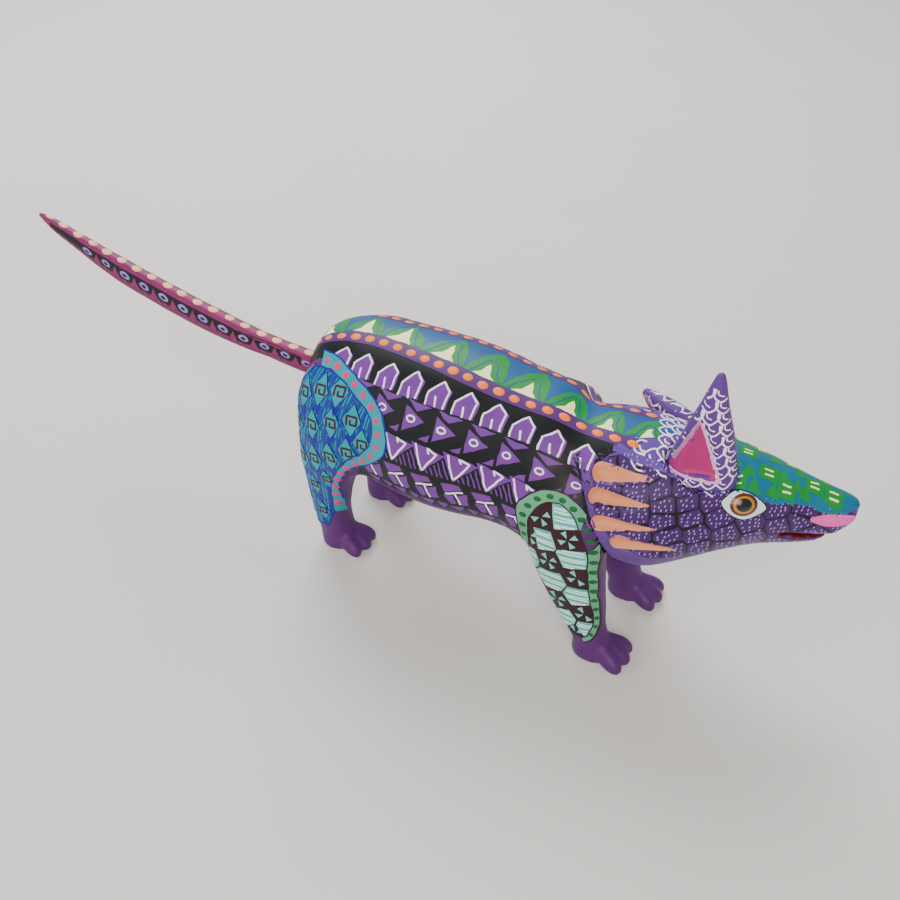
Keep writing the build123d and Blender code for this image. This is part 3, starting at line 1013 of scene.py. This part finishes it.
DIAMOND = ((0, 5.6), (3.2, 0.3), (0, -5.0), (-3.2, 0.1))
FRET = ((-1.5, -1.5), (-1.6, 1.5), (1.5, 1.7), (1.7, -0.9), (-0.3, -1.0), (-0.3, 0.4))
hip_ground = sheet("hip_blue_ground", "hip_blue", "hind_leg_paint")
hip_blue = sheet("hip_turquoise_stripes", "turquoise", "hind_leg_paint")
hip_diamonds = sheet("hip_turquoise_diamonds", "turquoise", "hind_leg_paint")
hip_navy = sheet("hip_navy_marks", "navy", "hind_leg_paint")
hip_frets = sheet("hip_brown_frets", "fret_brown", "hind_leg_paint")
hip_border = sheet("hip_turquoise_border", "turquoise", "hind_leg_paint")
hip_dots = sheet("hip_pink_dots", "pink", "hind_leg_paint")

for side in (RIGHT, LEFT):
    name = "right" if side == RIGHT else "left"
    hip = leg_chart(side, ("trunk", f"{name}_hind_leg"), HIP_PIVOTS, 6.5)
    field = list(HIP_INNER) + list(HIP_FOOT)
    fill(hip_ground, hip, field, 3 * COAT, step=0.9, sway=0.1)
    for x, h in FRETS:
        part = nearest_share(field, (x, h), FRETS, 0.5)
        for number, line in enumerate(hatch(part, 80, 0.95, inset=0.2)):
            stroke(hip_blue if number % 3 else hip_navy, hip, line, 0.42, 4 * COAT)
        large = 1.0 if h > 28 else 0.78
        diamond = [(x + px * large, h + py * large) for px, py in DIAMOND]
        fill(hip_diamonds, hip, diamond, 5 * COAT, step=0.8, sway=0.2)
        stroke(hip_navy, hip, diamond, 0.4, 6 * COAT, closed=True)
        fill(hip_navy, hip, moved(((-1.6, -4.4), (1.6, -4.4), (0, -7.6)), x, h), 5.4 * COAT, step=0.8)
        fret = [(x + px * large, h + py * large) for px, py in FRET]
        stroke(hip_frets, hip, fret, 0.85, 7 * COAT, sway=0.15)
    band(hip_border, hip, HIP_OUTER, HIP_INNER, 7 * COAT)
    stroke(hip_navy, hip, HIP_OUTER, 0.55, 7.6 * COAT, curved=True)
    stroke(hip_navy, hip, HIP_INNER, 0.55, 8 * COAT, curved=True)
    stroke(hip_navy, hip, [HIP_INNER[-1]] + list(HIP_FOOT) + [HIP_INNER[0]], 0.55, 7 * COAT, curved=True)
    outer_marks, inner_marks = spread(HIP_OUTER, 24), spread(HIP_INNER, 24)
    for a, b in zip(outer_marks[1:-1], inner_marks[1:-1]):
        dot(hip_dots, hip, midpoint(a, b, 0.5), (1.15, 1.15), 7 * COAT)

# ---------------------------------------------------------------- shoulders: squares on sage

SHOULDER_PIVOTS = ((0, 43.5), (25, 32.0), (26, 5.0), (60, 5.0))
SHOULDER_OUTER = (
    (22.0, 30.0), (21.5, 37.0), (21.0, 42.5), (22.5, 46.0), (25.0, 48.5), (27.5, 50.0), (31.2, 50.4),
    (35.4, 49.5), (39.5, 47.0), (42.6, 43.6), (44.0, 38.5), (44.6, 34.0), (44.6, 30.0), (45.0, 24.5),
    (46.0, 17.0), (46.9, 11.0), (46.9, 6.5), (46.0, 2.0), (44.0, -0.3),
)  # fmt: skip
SHOULDER_INNER = (
    (24.6, 30.0), (24.4, 35.0), (24.5, 38.5), (25.2, 41.5), (27.0, 45.0), (29.0, 46.8), (32.0, 47.4),
    (34.5, 46.6), (37.0, 44.8), (38.6, 42.5), (40.0, 39.5), (41.5, 35.0), (42.4, 29.0), (43.0, 22.0),
    (44.0, 16.5), (45.2, 11.5), (45.4, 6.5), (44.6, 2.6), (43.0, 1.0),
)  # fmt: skip
SHOULDER_FOOT = ((38.0, 0.3), (33.0, 5.0), (28.5, 14.0), (24.5, 24.0))
MINT_SQUARES = (
    (34.5, 43.5), (29.0, 34.5), (38.2, 31.2), (32.8, 20.5), (40.5, 17.2), (37.3, 6.5), (43.8, 4.5),
    (25.5, 25.0), (30.0, 8.5),
)  # fmt: skip
MAROON_SQUARES = (
    (28.0, 41.8), (36.5, 37.6), (31.4, 27.6), (40.0, 24.8), (34.5, 13.2), (43.0, 11.0), (40.6, 2.0),
    (25.0, 33.5), (26.5, 16.5),
)  # fmt: skip
shoulder_ground = sheet("shoulder_maroon_ground", "maroon", "front_leg_paint")
shoulder_mint = sheet("shoulder_mint_squares", "mint", "front_leg_paint")
shoulder_pale = sheet("shoulder_pale_strokes", "mint_white", "front_leg_paint")
shoulder_teal = sheet("shoulder_teal_lines", "teal", "front_leg_paint")
shoulder_sage = sheet("shoulder_sage_border", "sage", "front_leg_paint")
shoulder_dots = sheet("shoulder_green_dots", "bottle_green", "front_leg_paint")
shoulder_lines = sheet("shoulder_maroon_lines", "maroon", "front_leg_paint")

for side in (RIGHT, LEFT):
    name = "right" if side == RIGHT else "left"
    shoulder = leg_chart(side, ("trunk", f"{name}_front_leg"), SHOULDER_PIVOTS, 6.0)
    field = list(SHOULDER_INNER) + list(SHOULDER_FOOT)
    centres = MINT_SQUARES + MAROON_SQUARES
    fill(shoulder_ground, shoulder, field, 3 * COAT, step=0.9, sway=0.1)
    for centre in MINT_SQUARES:
        square = nearest_share(field, centre, centres, 0.5)
        if len(square) < 3:
            continue
        fill(shoulder_mint, shoulder, square, 4 * COAT, step=0.9, sway=0.15)
        for number, line in enumerate(hatch(square, 6, 0.8, inset=0.4)):
            if number % 3 == 2:
                stroke(shoulder_teal, shoulder, line, 0.3, 5 * COAT)
            else:
                stroke(shoulder_pale, shoulder, line, 0.5, 5 * COAT)
    for x, h in MAROON_SQUARES:
        for k in range(4):
            turn = pi / 2 * k + 0.6
            blade = [
                (x + 0.5 * cos(turn), h + 0.5 * sin(turn)),
                (x + 2.9 * cos(turn - 0.3), h + 2.9 * sin(turn - 0.3)),
                (x + 2.7 * cos(turn + 0.35), h + 2.7 * sin(turn + 0.35)),
            ]
            if all(inside(field, *p) for p in blade):
                fill(shoulder_mint, shoulder, blade, 4 * COAT, step=0.7, sway=0.1)
    band(shoulder_sage, shoulder, SHOULDER_OUTER, SHOULDER_INNER, 6 * COAT)
    stroke(shoulder_lines, shoulder, SHOULDER_OUTER, 0.5, 7 * COAT, curved=True)
    stroke(shoulder_lines, shoulder, SHOULDER_INNER, 0.45, 7 * COAT, curved=True)
    outer_marks, inner_marks = spread(SHOULDER_OUTER, 22), spread(SHOULDER_INNER, 22)
    for a, b in zip(outer_marks[1:-1], inner_marks[1:-1]):
        wide = hypot(a[0] - b[0], a[1] - b[1])
        dot(shoulder_dots, shoulder, midpoint(a, b, 0.5), (min(1.15, wide * 0.38), 0.85), 6 * COAT)

# ---------------------------------------------------------------- the head

head_ground = sheet("cheek_black_ground", "black", "head_paint")
head_scales = sheet("cheek_violet_scales", "scale_violet", "head_paint")
head_dashes = sheet("cheek_lilac_dashes", "dash_lilac", "head_paint")
head_brow = sheet("brow_violet", "brow_violet", "head_paint")
gill_paint = sheet("gill_peach", "peach", "head_paint")
head_lines = sheet("face_black_lines", "black", "head_paint")
snout_blue = sheet("snout_blue_ground", "snout_blue", "head_paint")
snout_green = sheet("snout_green_shapes", "leaf_green", "head_paint")
snout_cream = sheet("snout_cream_dashes", "cream", "head_paint")
lip_pink = sheet("lip_pink", "lip_pink", "head_paint")
eye_white = sheet("eye_white", "eye_white", "head_paint")
eye_amber = sheet("eye_amber_iris", "amber", "head_paint")
eye_ring = sheet("eye_brown_ring", "iris_brown", "head_paint")
eye_pupil = sheet("eye_black_pupil", "pupil_black", "head_paint")

CHEEK = (
    (4.0, 64.5), (-0.6, 63.0), (-3.2, 60.2), (-3.6, 56.5), (-3.4, 52.0), (-1.3, 46.8), (1.7, 43.2),
    (4.2, 40.9), (8.5, 38.2), (14.5, 36.6), (24.0, 36.8), (34.0, 38.6), (42.0, 40.0), (50.0, 42.0),
    (57.0, 43.5), (61.0, 47.0), (65.5, 51.5), (66.0, 54.0), (62.0, 55.2), (57.0, 55.5), (49.5, 56.8),
    (39.5, 57.3), (29.5, 59.0), (22.0, 60.5), (14.5, 63.0), (6.5, 64.8),
)  # fmt: skip
SCALES = (
    (-1.0, 62.0), (4.5, 62.5), (10.5, 61.0), (0.0, 55.5), (7.8, 55.8), (13.6, 57.0), (19.2, 58.2),
    (15.6, 53.2), (20.6, 54.2), (27.0, 55.4), (8.0, 49.6), (15.8, 49.0), (22.2, 50.4), (29.5, 51.0),
    (38.0, 50.0), (9.0, 44.2), (17.8, 44.8), (24.6, 45.6), (32.4, 46.2), (40.2, 44.6), (46.0, 49.0),
    (50.5, 51.2), (44.2, 55.0), (51.5, 54.6), (59.0, 54.8), (20.0, 39.8), (26.4, 40.6), (33.0, 41.0),
    (13.6, 38.4), (0.5, 49.5), (3.5, 43.0), (47.0, 44.2), (54.0, 45.6),
)  # fmt: skip
DASH_ROWS = 1.15
DASH_SPACING = 1.4
# Back and point of each gill, and half its width at the back.
GILL_MARKS = (
    ((-4.3, 59.0), (11.5, 59.2), 2.5),
    ((-4.4, 52.8), (11.5, 52.6), 2.4),
    ((-2.6, 45.6), (14.0, 46.4), 2.3),
    ((3.0, 40.8), (20.8, 40.2), 2.4),
)
EYE = (
    (29.3, 55.0), (30.5, 57.0), (33.2, 58.7), (37.5, 57.6), (41.2, 54.6), (38.5, 52.0), (35.5, 51.0),
    (31.8, 52.4),
)  # fmt: skip
EYE_CENTRE = (35.2, 55.0)
SNOUT_EDGE = (
    (30.0, -10.4), (35.0, -10.6), (39.4, -9.8), (44.4, -8.3), (49.4, -6.6), (57.0, -4.9), (62.5, -3.4),
    (65.6, -1.4),
)  # fmt: skip
# Middles of the snout's green blocks and triangles: along the head, across it.
SNOUT_BLOCKS = (
    (35.1, 1.8), (40.6, -3.4), (32.6, -8.0), (45.7, -5.6), (53.1, -1.5), (58.5, -2.2), (39.0, 6.0),
    (47.0, 4.0), (33.5, 8.2),
)  # fmt: skip
SNOUT_TRIANGLES = (
    (35.3, -5.0), (37.0, -8.0), (42.0, -7.0), (44.4, -2.4), (48.4, -3.6), (50.6, -4.6), (31.6, -3.6),
    (42.6, 2.4), (36.6, 5.6), (49.5, 0.8), (55.6, 1.4), (43.5, 6.6),
)  # fmt: skip
LIP = ((53.5, 51.8), (56.0, 53.3), (60.5, 53.9), (65.0, 53.8), (66.6, 52.0), (63.0, 50.6), (58.0, 50.0))

SCALLOP = ((-2.1, 2.4), (-1.9, 0.6), (0.0, -1.0), (1.9, 0.6), (2.1, 2.4))
INNER_ARC = ((-1.0, 2.1), (-0.8, 1.0), (0.5, 0.5))
SCALLOP_SPACING = 3.8
CROWN_ROWS = 3.1
EAR_ROWS = 3.3

# The mouth's upper edge, then its lower edge back to the corner.
MOUTH = (
    (45.3, 46.1), (49.0, 46.9), (54.0, 47.1), (60.0, 47.3), (60.6, 45.4), (57.0, 44.7), (52.0, 44.4),
    (47.5, 44.9),
)  # fmt: skip


def gill_outline(back, point, half):
    """A drop that is round at the back of the cheek and comes to a point."""
    s, h = back
    along, rise = point[0] - s, (point[1] - h) * 0.5
    upper, lower = [
        [
            (s + 0.9, h + way * half * 0.85),
            (s + 3.0, h + way * half),
            (s + along * 0.55, h + way * half * 0.62 + rise),
        ]
        for way in (1, -1)
    ]
    return [back] + upper + [point] + lower[::-1]


def in_gill(s, h, margin):
    """Whether a place lies inside a gill, by more than a margin."""
    for back, point, half in GILL_MARKS:
        share = (s - back[0] - margin) / (point[0] - back[0] - 2 * margin)
        if 0 < share < 1:
            middle = back[1] + (point[1] - back[1]) * share
            if abs(h - middle) < half * sqrt(1 - share) - margin:
                return True
    return False


def on_cheek(s, h):
    """Keeps the scales out of the gills and the mouth."""
    return not in_gill(s, h, 0.5) and not inside(MOUTH, s, h)


mouth_paint = sheet("mouth_dark_red", "mouth_red", "head_paint")
for side in (RIGHT, LEFT):
    cheek, scaly = head_side_chart(side), head_side_chart(side, on_cheek)
    fill(head_ground, scaly, CHEEK, COAT, step=0.8, sway=0.1)
    fill(mouth_paint, cheek, MOUTH, 2.5 * COAT, step=0.6, sway=0.05)
    for centre in SCALES:
        scale = nearest_share(CHEEK, centre, SCALES, 0.6)
        if len(scale) < 3:
            continue
        fill(head_scales, scaly, scale, 2 * COAT, step=0.8, sway=0.5)
        slant = hand.uniform(0.9, 1.4)
        for start, end in hatch(scale, 8, DASH_ROWS, inset=0.5):
            marks = max(1, round((end[0] - start[0]) / DASH_SPACING))
            for k in range(marks):
                x, y = midpoint(start, end, (k + 0.5 + hand.uniform(-0.3, 0.3)) / marks)
                middle = (x, y + hand.uniform(-0.3, 0.3))
                if scaly(*middle):
                    dot(head_dashes, scaly, middle, (0.42, 0.2), 3 * COAT, 0.05, slant, sides=6)
    for mark in GILL_MARKS:
        fill(gill_paint, cheek, gill_outline(*mark), 2 * COAT, step=0.7, sway=0.1, round_corners=True)
    brow = ((1.0, 65.6), (6.5, 63.6), (14.5, 62.0), (22.0, 59.6), (29.0, 58.0))
    stroke(head_brow, cheek, brow, 2.4, 4 * COAT, curved=True)
    fill(eye_white, cheek, EYE, 5 * COAT, step=0.7, sway=0.0, round_corners=True)
    stroke(head_lines, cheek, EYE, 0.35, 6 * COAT, curved=True, closed=True, sway=0.0)
    dot(eye_ring, cheek, EYE_CENTRE, (3.9, 3.3), 5.5 * COAT, 0.12, sides=28)
    dot(eye_amber, cheek, EYE_CENTRE, (3.2, 2.7), 8 * COAT, 0.12, sides=28)
    dot(eye_pupil, cheek, EYE_CENTRE, (2.2, 1.9), 11 * COAT, 0.12, sides=24)
    fill(lip_pink, cheek, LIP, 4 * COAT, step=0.7, sway=0.1, round_corners=True)

fill(
    head_brow,
    head_top_chart,
    ((0, 10), (14, 13), (24, 12), (31, 10.5), (31, -10.5), (24, -12), (14, -11), (0, -10)),
    0.6 * COAT,
    sway=0.1,
)
head_scallops = sheet("crown_white_scallops", "lilac_white", "head_paint")
for row in range(8):
    s = 6.0 + CROWN_ROWS * row
    for column in range(-5, 6):
        across = SCALLOP_SPACING * (column + 0.5 * (row % 2))
        under_spine_band = s < 12 and -6 < across < 10
        if under_spine_band or abs(across) > 11.5:
            continue
        for arc in (SCALLOP, INNER_ARC):
            line = [(s + b, across + a) for a, b in arc]
            stroke(head_scallops, head_top_chart, line, 0.55, 2.6 * COAT, curved=True)
snout_outline = list(SNOUT_EDGE) + [(s, -across) for s, across in reversed(SNOUT_EDGE)]
fill(snout_blue, head_top_chart, snout_outline, 4 * COAT, step=0.9, sway=0.1)
stroke(snout_blue, head_top_chart, snout_outline, 0.6, 5 * COAT, closed=True)
for s, across in SNOUT_BLOCKS:
    block = ((-2.5, -2.0), (2.4, -2.2), (2.6, 2.0), (-2.3, 2.2))
    fill(snout_green, head_top_chart, moved(block, s, across), 5 * COAT, step=0.8)
    for shift in (-0.75, 0.75):
        dash = moved(((-1.2, shift), (1.2, shift + 0.2)), s, across)
        stroke(snout_cream, head_top_chart, dash, 0.6, 6 * COAT)
for s, across in SNOUT_TRIANGLES:
    triangle = moved(((-1.9, -1.5), (2.0, -1.1), (0.1, 1.9)), s, across)
    fill(snout_green, head_top_chart, triangle, 5 * COAT, step=0.8)

# ---------------------------------------------------------------- ears


def ear_sheets(marks, paint):
    """The same marks on both ears, as a sheet for each."""
    return {
        which: sheet(f"{prefix}ear_{marks}", paint, "ear_paint", f"{which}_ear")
        for which, prefix in (("right", ""), ("left", "left_"))
    }


ear_scallops = ear_sheets("white_scallops", "lilac_white")
ear_pink = ear_sheets("magenta_hollow", "magenta")
ear_rim = ear_sheets("rose_rim", "rose_lilac")
EAR_TRIANGLE = ((-8.6, 5.4), (-2.6, 20.5), (3.6, 4.2))
EAR_RIM = ((-8.9, 4.6), (-2.8, 21.6), (4.6, 3.4))
# Half width of each ear at heights up it.
EAR_EDGES = {
    "right": ((0, 9.4), (7, 8.2), (15, 6.0), (24, 3.6), (31, 1.8)),
    "left": ((0, 9.2), (8, 9.0), (15.7, 6.8), (20, 4.4), (22.4, 2.4)),
}

for which, edge in EAR_EDGES.items():
    scallops = ear_scallops[which]
    for face in (1, -1):
        ear = ear_chart(which, face)
        for row in range(int(edge[-1][0] / EAR_ROWS)):
            q = 2.2 + EAR_ROWS * row
            half = along_table(edge, q) + 0.4
            p = -half + SCALLOP_SPACING / 2 * (row % 2)
            while p <= half:
                if face < 0 or not inside(EAR_RIM, p, q + 0.6):
                    stroke(scallops, ear, moved(SCALLOP, p, q), 0.55, COAT, curved=True, sway=0.3)
                    stroke(scallops, ear, moved(INNER_ARC, p, q), 0.4, COAT, curved=True, sway=0.2)
                p += SCALLOP_SPACING
    ear = ear_chart(which, 1)
    fill(ear_pink[which], ear, EAR_TRIANGLE, 2 * COAT, step=0.7, sway=0.1)
    stroke(ear_rim[which], ear, EAR_RIM, 0.95, 3 * COAT, closed=True, sway=0.15)

# ---------------------------------------------------------------- tail

tail_dots = sheet("tail_peach_dots", "tail_peach", "tail_paint", "tail")
tail_black = sheet("tail_black_row", "black", "tail_paint", "tail")
tail_triangles = sheet("tail_magenta_triangles", "tail_magenta", "tail_paint", "tail")
tail_ovals = sheet("tail_lilac_ovals", "oval_lilac", "tail_paint", "tail")
tail_plumes = sheet("tail_dark_plumes", "black", "tail_paint", "tail")

for k in range(18):
    x = -179.5 + 6.65 * k + hand.uniform(-0.3, 0.3)
    wide = 0.45 * along_table(TAIL_HALF, x)
    dot(tail_dots, tail_top_chart, (x, hand.uniform(-0.15, 0.15)), (2.0, min(1.45, wide)), COAT)
for side in (RIGHT, LEFT):
    flank = tail_side_chart(side)
    xs = [-178 + 5.0 * k for k in range(23)]
    band(tail_black, flank, [(x, 2.9) for x in xs], [(x, -0.6) for x in xs], COAT)
    for k in range(12):
        x = -160.5 + 8.6 * k
        dot(tail_ovals, flank, (x, 1.2), (2.3, 1.15), COAT, 0.1)
        dot(tail_black, flank, (x, 1.2), (1.1, 0.5), 4 * COAT, 0.05)
        triangle = moved(((2.6, -0.7), (6.0, -0.7), (4.3, 2.4)), x, 0)
        fill(tail_triangles, flank, triangle, 2 * COAT, step=0.8, sway=0.15)
    for k in range(38):
        x = -176 + 3.0 * k
        plume = ((x, -0.7), (x + 1.3, -1.9), (x + 3.4, -3.0))
        stroke(tail_plumes, flank, plume, 0.28, COAT, curved=True, sway=0.15)

# ---------------------------------------------------------------- pieces

for one in SHEETS.values():
    if one.faces:
        make_object(one.name, one.points, one.normals, one.faces, one.material, one.slot, one.body)

# Each block's skin, ground colour, slot and body.
BLOCKS = {
    "trunk": (body_skin, "black", "trunk_paint", "figure"),
    "head": (body_skin, "ear_violet", "head_paint", "figure"),
    "right_hind_leg": (body_skin, "violet", "hind_leg_paint", "figure"),
    "left_hind_leg": (body_skin, "violet", "hind_leg_paint", "figure"),
    "right_front_leg": (body_skin, "violet", "front_leg_paint", "figure"),
    "left_front_leg": (body_skin, "violet", "front_leg_paint", "figure"),
    "tail": (tail_skin, "tail_magenta", "tail_paint", "tail"),
    "right_ear": (ear_skins["right"], "ear_violet", "ear_paint", "right_ear"),
    "left_ear": (ear_skins["left"], "ear_violet", "ear_paint", "left_ear"),
}
for node, (skin, paint, slot, body) in BLOCKS.items():
    wood = make_object(f"{node}_wood", *skin.piece(node), PAINTS[paint], slot, body)
    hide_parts(node)
dowel_wood = bare_dowel_wood()
for name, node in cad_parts.items():
    if name.endswith("dowel"):
        node.data.materials.clear()
        node.data.materials.append(dowel_wood)

# ---------------------------------------------------------------- floor, light and camera


def pale_floor():
    """A seamless studio floor: matt, off white, with a faint unevenness."""
    material = bpy.data.materials.new("Pale studio floor, matt")
    material.use_nodes = True
    tree = material.node_tree
    tree.nodes.clear()
    place = add_node(tree, "ShaderNodeTexCoord").outputs["Object"]
    cloud = add_node(
        tree, "ShaderNodeTexNoise", {"Vector": place, "Scale": per_mm(120), "Detail": 2.0}
    ).outputs["Fac"]
    tint = mixed_colour(tree, cloud, linear("#d3d0cb"), linear("#dad7d2"))
    surface = add_node(
        tree, "ShaderNodeBsdfPrincipled", {"Base Color": tint, "Roughness": 0.85}
    ).outputs["BSDF"]
    add_node(tree, "ShaderNodeOutputMaterial", {"Surface": surface})
    return material


floor_mesh = bpy.data.meshes.new("floor")
floor_mesh.from_pydata([(-4, -4, 0), (4, -4, 0), (4, 4, 0), (-4, 4, 0)], [], [(0, 1, 2, 3)])
floor_mesh.materials.append(pale_floor())
floor = bpy.data.objects.new("floor", floor_mesh)
bpy.context.scene.collection.objects.link(floor)

world = bpy.data.worlds.new("Soft surrounding light")
world.use_nodes = True
sky = world.node_tree.nodes["Background"]
sky.inputs["Color"].default_value = linear("#e9ecf0")
sky.inputs["Strength"].default_value = 0.6
bpy.context.scene.world = world


def soft_light(name, place, size, power, colour):
    light = bpy.data.lights.new(name, "AREA")
    light.shape = "SQUARE"
    light.size = size
    light.energy = power
    light.color = linear(colour)[:3]
    holder = bpy.data.objects.new(name, light)
    holder.location = place
    aim = Vector((0.0, 0.0, 0.05)) - Vector(place)
    holder.rotation_euler = aim.to_track_quat("-Z", "Y").to_euler()
    bpy.context.scene.collection.objects.link(holder)


soft_light("window_behind_left", (-0.5, 0.6, 0.9), 0.7, 15.0, "#ffffff")
soft_light("softbox_front", (0.5, -0.9, 0.9), 0.8, 15.5, "#fff6ea")
soft_light("fill_right", (-0.7, -0.7, 0.5), 0.8, 5.0, "#eef3ff")

# The camera stands where the animal's right side and snout both face it, a little above.
CAMERA_PLACE = Vector((94.0, -185.9, 229.0))
CAMERA_FORWARD = Vector((-0.3823, 0.6573, -0.6494))
CAMERA_RIGHT = Vector((0.8644, 0.5027, 0.0))
lens = bpy.data.cameras.new("camera")
lens.lens = 36.0
lens.sensor_width = 36.0
lens.clip_start = 0.01
camera = bpy.data.objects.new("camera", lens)
upward = CAMERA_RIGHT.cross(CAMERA_FORWARD)
turned = Matrix((CAMERA_RIGHT, upward, -CAMERA_FORWARD)).transposed().to_4x4()
camera.matrix_world = Matrix.Translation(to_row(CAMERA_PLACE)) @ turned
bpy.context.scene.collection.objects.link(camera)
bpy.context.scene.camera = camera
